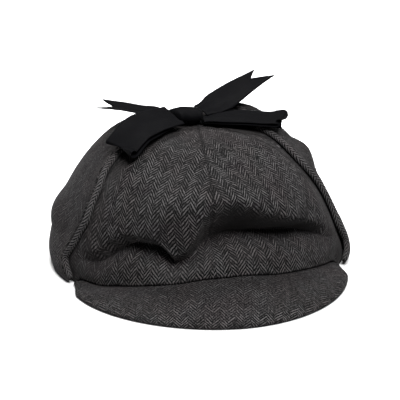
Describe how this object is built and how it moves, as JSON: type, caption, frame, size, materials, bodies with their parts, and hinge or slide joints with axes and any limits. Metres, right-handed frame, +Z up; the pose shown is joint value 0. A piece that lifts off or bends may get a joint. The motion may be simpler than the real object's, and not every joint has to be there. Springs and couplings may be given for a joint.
{
  "type": "ear-flap cap",
  "caption": "Soft herringbone wool cap with a stiff front peak, a slumped hollow crown and piped ear flaps turned up and tied over the top with a ribbon bow.",
  "frame": {"origin": "middle of the cap's footprint on the surface it stands on", "axes": "+Z up, -Y towards the peak, +X to the right seen from the front"},
  "size_m": [0.2092, 0.2333, 0.1218],
  "materials": {
    "herringbone_wool": "brushed charcoal herringbone wool",
    "ribbon": "matte black ribbed ribbon"
  },
  "bodies": {
    "root": {"crown": "herringbone_wool", "peak": "herringbone_wool", "left_ear_flap": "herringbone_wool", "right_ear_flap": "herringbone_wool", "left_flap_piping": "herringbone_wool", "right_flap_piping": "herringbone_wool", "left_tie": "ribbon", "right_tie": "ribbon", "bow_knot": "ribbon", "bow_left_loop": "ribbon", "bow_right_loop": "ribbon", "bow_left_tail": "ribbon", "bow_right_tail": "ribbon"}
  },
  "joints": []
}
